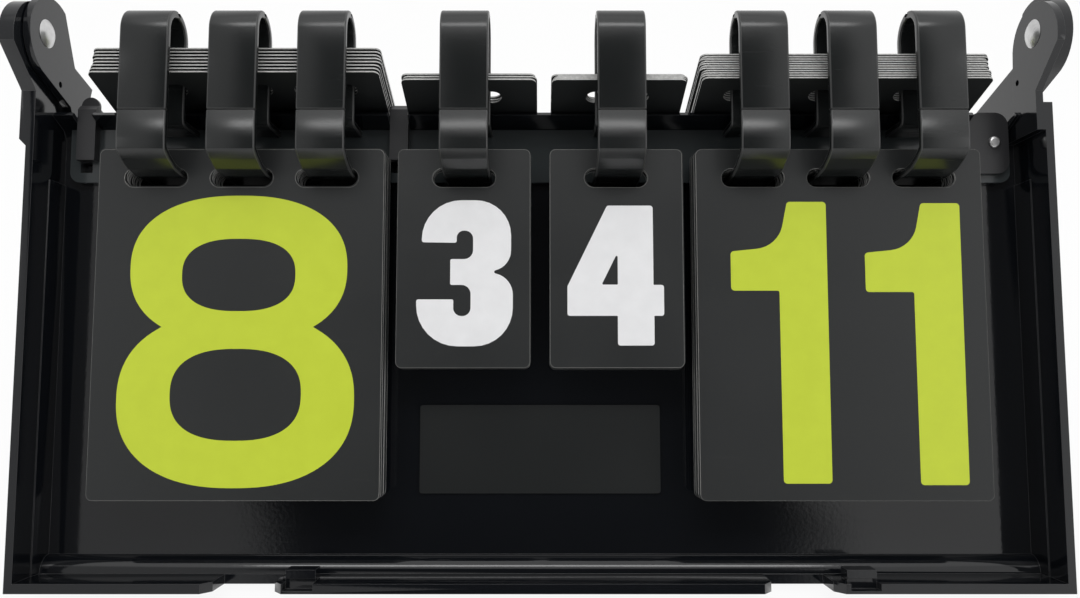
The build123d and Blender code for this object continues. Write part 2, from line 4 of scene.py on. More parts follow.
import bmesh
import bpy
import numpy as np
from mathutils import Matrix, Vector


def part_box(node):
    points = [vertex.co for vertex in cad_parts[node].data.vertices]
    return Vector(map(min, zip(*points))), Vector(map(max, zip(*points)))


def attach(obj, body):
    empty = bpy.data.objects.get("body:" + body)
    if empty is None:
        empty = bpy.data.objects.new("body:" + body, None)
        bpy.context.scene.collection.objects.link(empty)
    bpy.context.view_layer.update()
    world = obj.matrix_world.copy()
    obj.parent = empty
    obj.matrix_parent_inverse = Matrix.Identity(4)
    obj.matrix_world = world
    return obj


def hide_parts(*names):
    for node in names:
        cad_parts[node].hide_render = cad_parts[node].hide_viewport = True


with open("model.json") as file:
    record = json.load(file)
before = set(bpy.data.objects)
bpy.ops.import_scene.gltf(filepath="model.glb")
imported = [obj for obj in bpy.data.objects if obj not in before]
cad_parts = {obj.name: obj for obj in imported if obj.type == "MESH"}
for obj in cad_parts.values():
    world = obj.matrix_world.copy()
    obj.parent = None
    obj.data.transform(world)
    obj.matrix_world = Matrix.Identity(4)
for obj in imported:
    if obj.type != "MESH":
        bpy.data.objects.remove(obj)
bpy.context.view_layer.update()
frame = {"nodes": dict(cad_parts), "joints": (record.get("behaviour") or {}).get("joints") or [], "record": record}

bl_info = {
    "name": "Flip Scoreboard",
    "version": (1, 0, 0),
    "blender": (4, 5, 0),
    "location": "3D View > Sidebar > Scoreboard",
    "description": "Dresses a tabletop flip scoreboard: case, rings, cards, printed numbers and a studio",
    "category": "Object",
}

# ------------------------------------------------------------------ frame of the two halves
MM = 0.001
JOINTS = {joint["name"]: joint for joint in frame["joints"]}
MOUNTS = {mount["name"]: mount for mount in frame["record"]["mounts"]}
HINGE = np.array(JOINTS["rear_half_fold"]["pos_m"])
ACROSS = np.array([1.0, 0.0, 0.0])
FRONT_OUT = np.array(MOUNTS["label_face"]["axis"])
FRONT_DOWN = np.cross(ACROSS, FRONT_OUT)
STATIONS = ("points_left", "sets_left", "sets_right", "points_right")
RING_COUNT = 8

# Ring strap, millimetres from the hinge axis as (out, down)
STRAP = 2.6
ARCH_CORNERS = ((11.7, 32.25, 0), (11.7, -5.3, 8.0), (-4.3, -5.3, 8.0), (-4.3, 32.5, 1.8), (-19.5, 32.5, 0))
HOOK_CORNERS = (
    (-19.5, 51.2, 0),
    (-3.8, 51.2, 0.8),
    (2.6, 50.25, 0.6),
    (8.1, 47.95, 0.6),
    (11.4, 45.8, 0.6),
    (11.7, 42.4, 0.3),
    (11.7, 32.35, 0),
)
ARCH_STEPS = 14
HOOK_STEPS = 3
TONGUE_PATH = np.array([[9.5, 45.0], [9.5, 23.3]])
TONGUE_SECTION = (4.8, 1.8, 0.4)  # narrower than the strap by, thickness, edge radius
FOOT_PATH = np.array([[-19.5, 49.7], [-17.5, 49.7]])
FOOT_SECTION = (0.0, 3.6, 0.5)


def at(x, out, down):
    """World place of points given across, out of the front tray and down from the hinge, all in mm."""
    x, out, down = np.broadcast_arrays(*(np.asarray(v, dtype=float) for v in (x, out, down)))
    offsets = x[..., None] * ACROSS + out[..., None] * FRONT_OUT + down[..., None] * FRONT_DOWN
    return HINGE + offsets * MM


# ------------------------------------------------------------------ settings
class BoardFinish(bpy.types.PropertyGroup):
    """Colours of the scoreboard, as linear values."""

    case: bpy.props.FloatVectorProperty(
        name="Case",
        description="Moulded plastic of both halves",
        subtype="COLOR",
        size=3,
        default=(0.0042, 0.0050, 0.0066),
    )
    ring: bpy.props.FloatVectorProperty(
        name="Rings",
        description="Plastic of rings and rail",
        subtype="COLOR",
        size=3,
        default=(0.0085, 0.0098, 0.0100),
    )
    # Lighter grey painted on the case's eased edges as a highlight; the clips and end plate take the same grey as
    # their own colour.
    edge_highlight_and_clips: bpy.props.FloatVectorProperty(
        name="Edges",
        description="Painted highlight on the case's eased edges",
        subtype="COLOR",
        size=3,
        default=(0.022, 0.022, 0.024),
    )
    card: bpy.props.FloatVectorProperty(
        name="Card face",
        description="Printed black of a card",
        subtype="COLOR",
        size=3,
        default=(0.0088, 0.0102, 0.0106),
    )
    card_edge: bpy.props.FloatVectorProperty(
        name="Card edge",
        description="Cut edge of a card",
        subtype="COLOR",
        size=3,
        default=(0.42, 0.42, 0.41),
    )
    card_cut: bpy.props.FloatVectorProperty(
        name="Card cut",
        description="Bright line where a card was cut",
        subtype="COLOR",
        size=3,
        default=(0.2, 0.2, 0.19),
    )
    # Lighter colour on the rings' rounded edges and eased ends: a painted highlight.
    ring_edge_highlight: bpy.props.FloatVectorProperty(
        name="Ring edges",
        description="Painted highlight on the rings' rounded edges",
        subtype="COLOR",
        size=3,
        default=(0.035, 0.036, 0.036),
    )
    rail: bpy.props.FloatVectorProperty(
        name="Rail",
        description="Black of the ring rail",
        subtype="COLOR",
        size=3,
        default=(0.034, 0.040, 0.042),
    )
    points: bpy.props.FloatVectorProperty(
        name="Points numbers",
        description="Ink of the wide cards",
        subtype="COLOR",
        size=3,
        default=(0.52, 0.62, 0.032),
    )
    sets: bpy.props.FloatVectorProperty(
        name="Sets numbers",
        description="Ink of the narrow cards",
        subtype="COLOR",
        size=3,
        default=(0.79, 0.79, 0.8),
    )
    rivet: bpy.props.FloatVectorProperty(
        name="Rivets",
        description="Metal of the rivets",
        subtype="COLOR",
        size=3,
        default=(0.62, 0.62, 0.62),
    )


class BoardSizes(bpy.types.PropertyGroup):
    """Small radii and thicknesses that only the eye needs."""

    case_edge: bpy.props.FloatProperty(
        name="Case edge", description="Rounding of the case's edges", default=0.0005, unit="LENGTH"
    )
    strap_edge: bpy.props.FloatProperty(
        name="Strap edge", description="Rounding of the ring straps, in mm", default=0.6, min=0.1, max=1.2
    )
    ink: bpy.props.FloatProperty(
        name="Ink", description="Thickness of a printed number", default=0.00004, unit="LENGTH"
    )
    card_edge: bpy.props.FloatProperty(
        name="Card edge", description="Width of the bright line round a card", default=0.00016, unit="LENGTH"
    )
    card_play: bpy.props.FloatProperty(
        name="Card play",
        description="How far a card strays from its deck, in mm",
        default=0.35,
        min=0.0,
        max=1.5,
    )


# ------------------------------------------------------------------ mesh helpers
def new_piece(name, points, faces, material, smooth=True):
    """Object at the origin from an array of points and a list of faces."""
    mesh = bpy.data.meshes.new(name)
    mesh.from_pydata(np.asarray(points).tolist(), [], [tuple(int(i) for i in face) for face in faces])
    mesh.validate()
    mesh.update()
    if smooth:
        mesh.shade_smooth()
    else:
        mesh.shade_flat()
    piece = bpy.data.objects.new(name, mesh)
    bpy.context.scene.collection.objects.link(piece)
    piece.data.materials.append(material)
    return piece


def rounded_path(corners, steps=8, closed=False):
    """Path through corners (a, b, radius): straight runs joined by arcs tangent to both runs.

    An arc starts radius x tan(half the turn) before its corner and its centre lies on the bisector.
    """
    corners = [np.array(corner, dtype=float) for corner in corners]
    count = len(corners)
    points = []
    for index, corner in enumerate(corners):
        place, radius = corner[:2], corner[2]
        if radius == 0 or (not closed and index in (0, count - 1)):
            points.append(place[None, :])
            continue
        back = corners[index - 1][:2] - place
        ahead = corners[(index + 1) % count][:2] - place
        back /= np.linalg.norm(back)
        ahead /= np.linalg.norm(ahead)
        half = math.acos(np.clip(np.dot(back, ahead), -1, 1)) / 2
        middle = (back + ahead) / np.linalg.norm(back + ahead)
        centre = place + middle * radius / math.sin(half)
        first = place + back * radius / math.tan(half) - centre
        last = place + ahead * radius / math.tan(half) - centre
        start = math.atan2(first[1], first[0])
        sweep = (math.atan2(last[1], last[0]) - start + math.pi) % (2 * math.pi) - math.pi
        angles = start + sweep * np.linspace(0, 1, steps + 1)
        points.append(centre + radius * np.stack([np.cos(angles), np.sin(angles)], axis=1))
    return np.concatenate(points)


def rounded_section(width, height, radius, steps=4):
    """Closed rectangle about the origin with four round corners."""
    w, h = width / 2, height / 2
    return rounded_path(((-w, -h, radius), (w, -h, radius), (w, h, radius), (-w, h, radius)), steps, True)


def carried(path, width, thickness, radius, centre):
    """A rounded section carried along a side-view path (out, down); both ends are eased and capped.

    A section point (a, b) at path point p goes to x = centre + a and p + b times the path's normal.
    Returns points, faces and, for each face, 1 where it belongs to a rounded corner or an eased end; those faces
    are painted lighter, as a highlight.
    """
    ahead = np.gradient(path, axis=0)
    step = np.diff(path, axis=0)
    step /= np.linalg.norm(step, axis=1)[:, None]
    ahead[0], ahead[-1] = step[0], step[-1]
    ahead[1:-1] = step[:-1] + step[1:]
    ahead /= np.linalg.norm(ahead, axis=1)[:, None]
    normal = np.stack([-ahead[:, 1], ahead[:, 0]], axis=1)
    stretch = np.ones(len(path))
    stretch[1:-1] = 1 / np.clip(np.sum(step[:-1] * ahead[1:-1], axis=1), 0.5, 1)
    eased = radius * 0.6
    after_start = path[:1] + ahead[:1] * eased
    before_end = path[-1:] - ahead[-1:] * eased
    path = np.concatenate([path[:1], after_start, path[1:-1], before_end, path[-1:]])
    normal = np.concatenate([normal[:1], normal[:1], normal[1:-1], normal[-1:], normal[-1:]])
    stretch = np.concatenate([[1, 1], stretch[1:-1], [1, 1]])
    section = rounded_section(width, thickness, radius)
    inner = rounded_section(width - 2 * eased, thickness - 2 * eased, radius - eased * 0.5)
    rings = np.repeat(section[None], len(path), axis=0)
    rings[0], rings[-1] = inner, inner
    side = path[:, None, :] + rings[:, :, 1:2] * normal[:, None, :] * stretch[:, None, None]
    points = at(centre + rings[:, :, 0], side[:, :, 0], side[:, :, 1]).reshape(-1, 3)
    rows, columns = len(path), len(section)
    row, column = np.meshgrid(np.arange(rows - 1), np.arange(columns), indexing="ij")
    follow = (column + 1) % columns
    quads = np.stack(
        [
            row * columns + column,
            row * columns + follow,
            (row + 1) * columns + follow,
            (row + 1) * columns + column,
        ],
        axis=-1,
    ).reshape(-1, 4)
    caps = [np.arange(columns)[::-1], (rows - 1) * columns + np.arange(columns)]
    # Rounded corners and eased ends, marked for the lighter edge material: a painted highlight.
    painted_highlight = (column % (columns // 4) < columns // 4 - 1) | (row == 0) | (row == rows - 2)
    marks = np.concatenate([painted_highlight.ravel().astype(int), [0, 0]])
    return points, [tuple(quad) for quad in quads] + [tuple(cap) for cap in caps], marks


def joined(parts):
    """Several (points, faces, marks) pieces as one."""
    points, faces, marks, offset = [], [], [], 0
    for part_points, part_faces, part_marks in parts:
        points.append(part_points)
        faces += [tuple(int(i) + offset for i in face) for face in part_faces]
        marks.append(part_marks)
        offset += len(part_points)
    return np.concatenate(points), faces, np.concatenate(marks)


def face_outwards(piece):
    """Turn every shell of a closed piece right side out."""
    shell = bmesh.new()
    shell.from_mesh(piece.data)
    bmesh.ops.recalc_face_normals(shell, faces=shell.faces)
    shell.to_mesh(piece.data)
    shell.free()


def node_points(node):
    """Corners of a CAD node's mesh."""
    mesh = frame["nodes"][node].data
    points = np.empty(len(mesh.vertices) * 3)
    mesh.vertices.foreach_get("co", points)
    return points.reshape(-1, 3)


# ------------------------------------------------------------------ node helpers
def group_tree(name, inputs, outputs):
    """Shader node group with named sockets; returns the tree and its two end nodes."""
    tree = bpy.data.node_groups.new(name, "ShaderNodeTree")
    for socket, kind, value in inputs:
        tree.interface.new_socket(name=socket, in_out="INPUT", socket_type=kind).default_value = value
    for socket, kind in outputs:
        tree.interface.new_socket(name=socket, in_out="OUTPUT", socket_type=kind)
    return tree, tree.nodes.new("NodeGroupInput"), tree.nodes.new("NodeGroupOutput")


def math_node(tree, operation, first, second=None, third=None, clamp=False):
    """Math node fed by sockets or numbers; returns its output."""
    node = tree.nodes.new("ShaderNodeMath")
    node.operation = operation
    node.use_clamp = clamp
    for socket, value in zip(node.inputs, (first, second, third)):
        if isinstance(value, bpy.types.NodeSocket):
            tree.links.new(value, socket)
        elif value is not None:
            socket.default_value = value
    return node.outputs[0]


def noise_node(tree, vector, scale, detail=3.0, stretch=None):
    """Noise on Object coordinates, with the pattern stretched if asked; returns its factor."""
    if stretch is not None:
        mapping = tree.nodes.new("ShaderNodeMapping")
        mapping.inputs["Scale"].default_value = stretch
        tree.links.new(vector, mapping.inputs["Vector"])
        vector = mapping.outputs[0]
    noise = tree.nodes.new("ShaderNodeTexNoise")
    noise.inputs["Scale"].default_value = scale
    noise.inputs["Detail"].default_value = detail
    tree.links.new(vector, noise.inputs["Vector"])
    return noise.outputs[0]


def mix_colour(tree, factor, first, second):
    """Blend of two colours by a factor; returns the colour output."""
    node = tree.nodes.new("ShaderNodeMix")
    node.data_type = "RGBA"
    for socket, value in ((node.inputs[0], factor), (node.inputs[6], first), (node.inputs[7], second)):
        if isinstance(value, bpy.types.NodeSocket):
            tree.links.new(value, socket)
        else:
            socket.default_value = value
    return node.outputs[2]


def handled_plastic():
    """Group: smudges from hands, fine mould grain and hairline scratches on glossy plastic."""
    name = "Handled plastic"
    if name in bpy.data.node_groups:
        return bpy.data.node_groups[name]
    tree, given, result = group_tree(
        name,
        (
            ("Colour", "NodeSocketColor", (0.01, 0.01, 0.01, 1)),
            ("Dust", "NodeSocketColor", (0.06, 0.06, 0.06, 1)),
            ("Roughness", "NodeSocketFloat", 0.2),
            ("Smudge", "NodeSocketFloat", 0.12),
            ("Dustiness", "NodeSocketFloat", 0.05),
            ("Grain", "NodeSocketFloat", 0.02),
        ),
        (("Colour", "NodeSocketColor"), ("Roughness", "NodeSocketFloat"), ("Normal", "NodeSocketVector")),
    )
    place = tree.nodes.new("ShaderNodeTexCoord").outputs["Object"]
    smudge = noise_node(tree, place, 24.0, 4.0)
    speck = noise_node(tree, place, 420.0, 2.0)
    hair = noise_node(tree, place, 60.0, 2.0, (0.6, 14.0, 14.0))
    above = math_node(tree, "SUBTRACT", hair, 0.64, clamp=True)
    scratch = math_node(tree, "MULTIPLY", above, 4.0, clamp=True)
    centred = math_node(tree, "SUBTRACT", smudge, 0.5)
    spread = math_node(tree, "MULTIPLY_ADD", centred, given.outputs["Smudge"], given.outputs["Roughness"])
    roughness = math_node(tree, "MULTIPLY_ADD", scratch, 0.12, spread, clamp=True)
    above = math_node(tree, "SUBTRACT", speck, 0.6, clamp=True)
    dust = math_node(tree, "MULTIPLY", above, 6.0, clamp=True)
    veil = math_node(tree, "MULTIPLY", math_node(tree, "ADD", dust, smudge), given.outputs["Dustiness"])
    colour = mix_colour(tree, veil, given.outputs["Colour"], given.outputs["Dust"])
    peel = noise_node(tree, place, 700.0, 1.0)
    wave = noise_node(tree, place, 18.0, 1.0)
    height = math_node(tree, "MULTIPLY_ADD", wave, 5.0, peel)
    height = math_node(tree, "MULTIPLY_ADD", scratch, -0.5, height)
    bump = tree.nodes.new("ShaderNodeBump")
    bump.inputs["Distance"].default_value = 0.0002
    tree.links.new(given.outputs["Grain"], bump.inputs["Strength"])
    tree.links.new(height, bump.inputs["Height"])
    tree.links.new(colour, result.inputs["Colour"])
    tree.links.new(roughness, result.inputs["Roughness"])
    tree.links.new(bump.outputs[0], result.inputs["Normal"])
    return tree


def plastic(name, colour, roughness, smudge, dustiness, grain):
    """Material that places the handled plastic group with its own values."""
    if name in bpy.data.materials:
        return bpy.data.materials[name]
    material = bpy.data.materials.new(name)
    material.use_nodes = True
    tree = material.node_tree
    shader = tree.nodes["Principled BSDF"]
    group = tree.nodes.new("ShaderNodeGroup")
    group.node_tree = handled_plastic()
    group.inputs["Colour"].default_value = (*colour, 1)
    group.inputs["Roughness"].default_value = roughness
    group.inputs["Smudge"].default_value = smudge
    group.inputs["Dustiness"].default_value = dustiness
    group.inputs["Grain"].default_value = grain
    tree.links.new(group.outputs["Colour"], shader.inputs["Base Color"])
    tree.links.new(group.outputs["Roughness"], shader.inputs["Roughness"])
    tree.links.new(group.outputs["Normal"], shader.inputs["Normal"])
    return material


def card_sides():
    """Group: 1 on the printed faces of a card and 0 on its cut edges, from the mesh's own normal."""
    name = "Card sides"
    if name in bpy.data.node_groups:
        return bpy.data.node_groups[name]
    tree, given, result = group_tree(
        name, (("Outward", "NodeSocketVector", (0, -1, 0)),), (("Face", "NodeSocketFloat"),)
    )
    normal = tree.nodes.new("ShaderNodeTexCoord").outputs["Normal"]
    dot = tree.nodes.new("ShaderNodeVectorMath")
    dot.operation = "DOT_PRODUCT"
    tree.links.new(normal, dot.inputs[0])
    tree.links.new(given.outputs["Outward"], dot.inputs[1])
    size = math_node(tree, "ABSOLUTE", dot.outputs["Value"])
    tree.links.new(math_node(tree, "GREATER_THAN", size, 0.8), result.inputs["Face"])
    return tree


def scaled(colour, share):
    """A colour made darker or lighter, none of its parts above 1, with alpha 1."""
    return (*(min(part * share, 1) for part in colour), 1)


def card_material(name, outward, finish):
    """Satin black card with pale cut edges; outward is the card's own outward direction."""
    material = bpy.data.materials.new(name)
    material.use_nodes = True
    tree = material.node_tree
    shader = tree.nodes["Principled BSDF"]
    sides = tree.nodes.new("ShaderNodeGroup")
    sides.node_tree = card_sides()
    sides.inputs["Outward"].default_value = outward
    grain = tree.nodes.new("ShaderNodeGroup")
    grain.node_tree = handled_plastic()
    grain.inputs["Colour"].default_value = (*finish.card, 1)
    grain.inputs["Roughness"].default_value = 0.42
    grain.inputs["Smudge"].default_value = 0.16
    grain.inputs["Dustiness"].default_value = 0.04
    grain.inputs["Grain"].default_value = 0.05
    place = tree.nodes.new("ShaderNodeTexCoord").outputs["Object"]
    shade = noise_node(tree, place, 900.0, 2.0)
    edge = mix_colour(tree, shade, scaled(finish.card_edge, 0.6), scaled(finish.card_edge, 1.4))
    colour = mix_colour(tree, sides.outputs["Face"], edge, grain.outputs["Colour"])
    tree.links.new(colour, shader.inputs["Base Color"])
    tree.links.new(grain.outputs["Roughness"], shader.inputs["Roughness"])
    tree.links.new(grain.outputs["Normal"], shader.inputs["Normal"])
    return material


def ink_material(name, colour):
    """Screen ink: even colour with a faint mottle and a satin surface."""
    material = bpy.data.materials.new(name)
    material.use_nodes = True
    tree = material.node_tree
    shader = tree.nodes["Principled BSDF"]
    place = tree.nodes.new("ShaderNodeTexCoord").outputs["Object"]
    mottle = noise_node(tree, place, 160.0, 4.0)
    colour = mix_colour(tree, mottle, scaled(colour, 0.93), scaled(colour, 1.05))
    roughness = math_node(tree, "MULTIPLY_ADD", mottle, 0.2, 0.35)
    bump = tree.nodes.new("ShaderNodeBump")
    bump.inputs["Strength"].default_value = 0.05
    bump.inputs["Distance"].default_value = 0.0001
    tree.links.new(noise_node(tree, place, 2200.0, 1.0), bump.inputs["Height"])
    tree.links.new(colour, shader.inputs["Base Color"])
    tree.links.new(roughness, shader.inputs["Roughness"])
    tree.links.new(bump.outputs[0], shader.inputs["Normal"])
    return material


def rivet_material(finish):
    """Turned metal with fine rings of brushing and dull patches."""
    material = bpy.data.materials.new("Rivet metal")
    material.use_nodes = True
    tree = material.node_tree
    shader = tree.nodes["Principled BSDF"]
    place = tree.nodes.new("ShaderNodeTexCoord").outputs["Object"]
    patch = noise_node(tree, place, 500.0, 4.0)
    brush = noise_node(tree, place, 900.0, 2.0, (0.2, 4.0, 1.0))
    colour = mix_colour(tree, patch, scaled(finish.rivet, 0.75), scaled(finish.rivet, 1.25))
    bump = tree.nodes.new("ShaderNodeBump")
    bump.inputs["Strength"].default_value = 0.12
    bump.inputs["Distance"].default_value = 0.0001
    shader.inputs["Metallic"].default_value = 1.0
    tree.links.new(brush, bump.inputs["Height"])
    tree.links.new(colour, shader.inputs["Base Color"])
    tree.links.new(math_node(tree, "MULTIPLY_ADD", patch, 0.25, 0.2), shader.inputs["Roughness"])
    tree.links.new(bump.outputs[0], shader.inputs["Normal"])
    return material


def dress(node, material):
    """Give a CAD node its finish."""
    target = frame["nodes"][node]
    target.data.materials.clear()
    target.data.materials.append(material)


def eased_copy(node, carrier, face, edge, width):
    """Merged copy of a CAD node with its sharp edges eased in a second material, in the node's place."""
    shell = bmesh.new()
    shell.from_mesh(frame["nodes"][node].data)
    bmesh.ops.remove_doubles(shell, verts=shell.verts, dist=2e-6)
    bmesh.ops.dissolve_limit(
        shell,
        angle_limit=math.radians(0.6),
        verts=shell.verts,
        edges=shell.edges,
        use_dissolve_boundaries=False,
    )
    mesh = bpy.data.meshes.new(node + "_eased")
    shell.to_mesh(mesh)
    shell.free()
    mesh.materials.append(face)
    mesh.materials.append(edge)
    piece = bpy.data.objects.new(node + "_eased", mesh)
    bpy.context.scene.collection.objects.link(piece)
    bevel = piece.modifiers.new("Eased edges", "BEVEL")
    bevel.width = width
    bevel.segments = 2
    bevel.limit_method = "ANGLE"
    bevel.angle_limit = math.radians(35)
    # Bevel faces take the second material: on the case halves a painted highlight, on the top cards the pale cut
    # line.
    bevel.material = 1
    bevel.harden_normals = True
    mesh.shade_smooth()
    mesh.set_sharp_from_angle(angle=math.radians(30))
    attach(piece, carrier)
    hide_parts(node)


# ------------------------------------------------------------------ case
class BOARD_OT_case(bpy.types.Operator):
    """Both halves of the case, with their edges eased"""

    bl_idname = "board.case"
    bl_label = "Case halves"

    def execute(self, context):
        finish, sizes = context.scene.board_finish, context.scene.board_sizes
        body = plastic("Tray plastic", finish.case, 0.08, 0.12, 0.02, 0.05)
        # Edge material: a painted highlight along the eased edges of both halves.
        edge = plastic("Tray edge highlight plastic", finish.edge_highlight_and_clips, 0.30, 0.16, 0.08, 0.05)
        eased_copy("case_front", "front_half", body, edge, sizes.case_edge)
        eased_copy("case_rear", "rear_half", body, edge, sizes.case_edge)
        return {"FINISHED"}


# ------------------------------------------------------------------ rings
class BOARD_OT_rings(bpy.types.Operator):
    """Eight rings: an arch snapped into a hook that comes out of the rail"""

    bl_idname = "board.rings"
    bl_label = "Rings"

    def execute(self, context):
        finish, sizes = context.scene.board_finish, context.scene.board_sizes
        gloss = plastic("Ring plastic", finish.ring, 0.24, 0.16, 0.05, 0.06)
        # Edge material: a painted highlight on the rings' rounded edges.
        edge = plastic("Ring edge highlight plastic", finish.ring_edge_highlight, 0.32, 0.16, 0.05, 0.06)
        for number in range(1, RING_COUNT + 1):
            low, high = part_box(f"ring_arch_{number}")
            centre = (low[0] + high[0]) / 2 / MM
            width = (high[0] - low[0]) / MM
            arch = carried(rounded_path(ARCH_CORNERS, ARCH_STEPS), width, STRAP, sizes.strap_edge, centre)
            self.piece(f"ring_arch_{number}", [arch], gloss, edge)
            hook = carried(rounded_path(HOOK_CORNERS, HOOK_STEPS), width, STRAP, sizes.strap_edge, centre)
            tongue = self.block(TONGUE_PATH, width, TONGUE_SECTION, centre)
            foot = self.block(FOOT_PATH, width, FOOT_SECTION, centre)
            self.piece(f"ring_hook_{number}", [hook, tongue, foot], gloss, edge)
        return {"FINISHED"}

    @staticmethod
    def block(path, width, section, centre):
        """A short straight piece of a ring."""
        narrower, thickness, radius = section
        return carried(path, width - narrower, thickness, radius, centre)

    @staticmethod
    def piece(node, parts, material, edge):
        """One ring piece in place of its node."""
        points, faces, marks = joined(parts)
        piece = new_piece(node + "_strap", points, faces, material)
        piece.data.materials.append(edge)
        # Marked faces take the edge material, a painted highlight.
        piece.data.polygons.foreach_set("material_index", marks)
        face_outwards(piece)
        piece.data.set_sharp_from_angle(angle=math.radians(50))
        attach(piece, "front_half")
        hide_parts(node)


# ------------------------------------------------------------------ cards
def deck_axes(name, flipped):
    """(up, outward) directions of a station's cards at rest."""
    if not flipped:
        return -FRONT_DOWN, FRONT_OUT
    up = np.array(JOINTS["slide_" + name]["axis"])
    up /= np.linalg.norm(up)
    return up, np.cross(ACROSS, up) * -1


def strayed(node, up, outward, count, play, seed):
    """Copy of a deck whose cards each stray a little, found by their depth along outward.

    Play is how far they stray, in mm, across the board and along their own height.

    A triangle that faces outward lies on the front of the card behind it, and one that faces
    back on the rear of the card in front, so half a card is taken off or added before counting.
    """
    points = node_points(node)
    mesh = frame["nodes"][node].data
    corners = np.empty(len(mesh.loops), dtype=int)
    mesh.loops.foreach_get("vertex_index", corners)
    triangles = corners.reshape(-1, 3)
    depth = points @ outward
    low, high = depth.min(), depth.max()
    pitch = (high - low) / count
    middle = depth[triangles].mean(axis=1)
    edge_a = points[triangles[:, 1]] - points[triangles[:, 0]]
    edge_b = points[triangles[:, 2]] - points[triangles[:, 0]]
    facing = np.cross(edge_a, edge_b)
    facing /= np.maximum(np.linalg.norm(facing, axis=1), 1e-12)[:, None]
    tilt = facing @ outward
    index = np.floor((middle - low - tilt * pitch * 0.25) / pitch).astype(int).clip(0, count - 1)
    chance = np.random.default_rng(seed)
    shift = chance.normal(0, 1, (count, 2)).clip(-2, 2) * np.array(play) * MM
    stray = shift[index, :1] * ACROSS + shift[index, 1:] * up
    spots = points[triangles] + stray[:, None, :]
    faces = np.arange(len(triangles) * 3).reshape(-1, 3)
    return spots.reshape(-1, 3), faces


class BOARD_OT_cards(bpy.types.Operator):
    """Top cards, the decks behind them and the decks turned over the rings"""

    bl_idname = "board.cards"
    bl_label = "Cards"

    def execute(self, context):
        finish, sizes = context.scene.board_finish, context.scene.board_sizes
        front = card_material("Card stock", tuple(FRONT_OUT), finish)
        cut = plastic("Card cut", finish.card_cut, 0.45, 0.1, 0.0, 0.02)
        for seed, name in enumerate(STATIONS):
            eased_copy("card_top_" + name, "top_card_" + name, front, cut, sizes.card_edge)
            play = (sizes.card_play, sizes.card_play)
            self.deck("deck_front_" + name, "front_half", name, False, front, play, seed)
            up, outward = deck_axes(name, True)
            flipped = card_material("Flipped card stock " + name, tuple(outward), finish)
            play = (sizes.card_play, 0.0)
            self.deck("deck_flipped_" + name, "flipped_" + name, name, True, flipped, play, seed + 10)
        return {"FINISHED"}

    @staticmethod
    def deck(node, body, name, flipped, material, play, seed):
        """A deck of separate cards in place of its node."""
        up, outward = deck_axes(name, flipped)
        count = CARD_COUNTS[node]
        points, faces = strayed(node, up, outward, count, play, seed)
        piece = new_piece(node + "_leaves", points, faces, material, smooth=False)
        shell = bmesh.new()
        shell.from_mesh(piece.data)
        bmesh.ops.remove_doubles(shell, verts=shell.verts, dist=1e-7)
        shell.to_mesh(piece.data)
        shell.free()
        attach(piece, body)
        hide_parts(node)


CARD_COUNTS = {
    "deck_front_points_left": 21,
    "deck_front_sets_left": 6,
    "deck_front_sets_right": 5,
    "deck_front_points_right": 18,
    "deck_flipped_points_left": 8,
    "deck_flipped_sets_left": 3,
    "deck_flipped_sets_right": 4,
    "deck_flipped_points_right": 11,
}


# ------------------------------------------------------------------ printed numbers
def lobe(centre, half_width, half_height, power, drop):
    """Half width of a superellipse at each drop: a (1 - |t|^n)^(1/n), and 0 outside it."""
    t = np.abs((drop - centre) / half_height).clip(0, 1)
    return half_width * (1 - t**power) ** (1 / power)


def eight():
    """Outlines of the 8, from the middle and the top of its card: two lobes joined, two counters."""
    top, bottom = 17.4, 123.5
    turn = np.linspace(0, math.pi, 160)
    drop = (top + bottom) / 2 - (bottom - top) / 2 * np.cos(turn)
    upper = lobe(44.4, 39.6, 27.0, 2.35, drop)
    lower = lobe(92.0, 42.9, 31.5, 2.35, drop)
    half = np.maximum(upper, lower)
    outer = np.concatenate([np.stack([half, drop], 1), np.stack([-half, drop], 1)[::-1][1:-1]])
    return [outer, counter(46.7, 20.7, 13.3), counter(90.2, 23.7, 16.5)]


def counter(centre, half_width, half_height, power=2.5):
    """Closed superellipse: x = a |cos|^(2/n), y = b |sin|^(2/n), with their signs."""
    turn = np.linspace(0, 2 * math.pi, 97)[:-1]
    x = half_width * np.sign(np.cos(turn)) * np.abs(np.cos(turn)) ** (2 / power)
    y = half_height * np.sign(np.sin(turn)) * np.abs(np.sin(turn)) ** (2 / power)
    return np.stack([x, centre + y], 1)


def one(left, top):
    """Outline of a 1 with its flag's lower left end at left."""
    corners = (
        (21.0, 0, 1.3), (35.3, 0, 1.3), (35.0, 102.2, 1.3), (17.6, 102.2, 1.3),
        (17.6, 32.8, 0.8), (0, 32.8, 1.3), (0, 18.4, 1.3), (17.6, 16.6, 11.0),
    )
    return rounded_path([(x + left, y + top, r) for x, y, r in corners], 8, True)


def three():
    """Outline of the 3: round lobes outside, slots with round ends inside."""
    corners = (
        (-15.3, 34.7, 0.8), (-15.3, 19.1, 14.4), (17.4, 19.1, 13.0), (17.4, 43.6, 7.5), (9.4, 45.6, 0.6),
        (18.1, 47.8, 8.0), (18.1, 72.8, 14.0), (-17.1, 72.8, 15.0), (-17.1, 55.7, 0.8), (-3.6, 55.7, 0.6),
        (-3.6, 61.8, 3.0), (2.7, 61.8, 3.0), (2.7, 50.4, 3.4), (-4.8, 50.4, 0.6), (-4.8, 40.9, 0.6),
        (3.5, 40.9, 3.3), (3.5, 30.4, 3.0), (-2.5, 30.4, 2.6), (-2.5, 34.9, 0.8),
    )
    return [rounded_path(corners, 8, True)]


